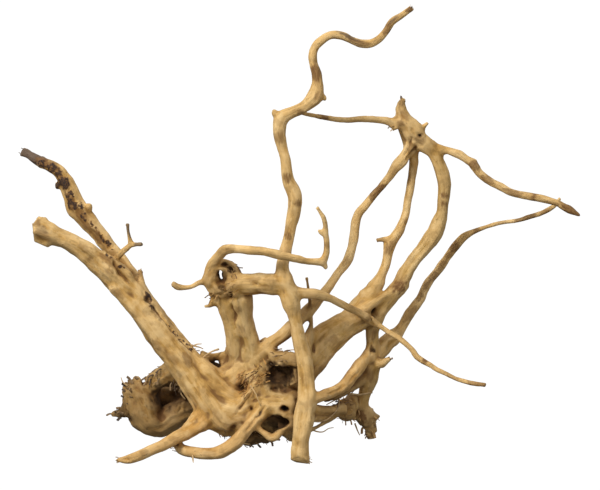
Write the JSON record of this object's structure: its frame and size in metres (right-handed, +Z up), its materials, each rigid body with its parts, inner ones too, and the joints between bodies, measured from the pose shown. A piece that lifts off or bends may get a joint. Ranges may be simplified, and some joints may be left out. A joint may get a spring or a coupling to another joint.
{
  "type": "branching driftwood root",
  "caption": "Branching piece of dry, barkless driftwood root that stands on its sawn foot and side roots.",
  "frame": {"origin": "centre of the root's outer box, on the ground that it stands on", "axes": "+X along its longest extent, towards the thin twigs, +Y to the back, +Z up"},
  "size_m": [0.5584, 0.1727, 0.4455],
  "materials": {
    "wood": "dry, weathered, barkless wood with brown patches"
  },
  "bodies": {
    "root": {"driftwood": "wood"}
  },
  "joints": []
}
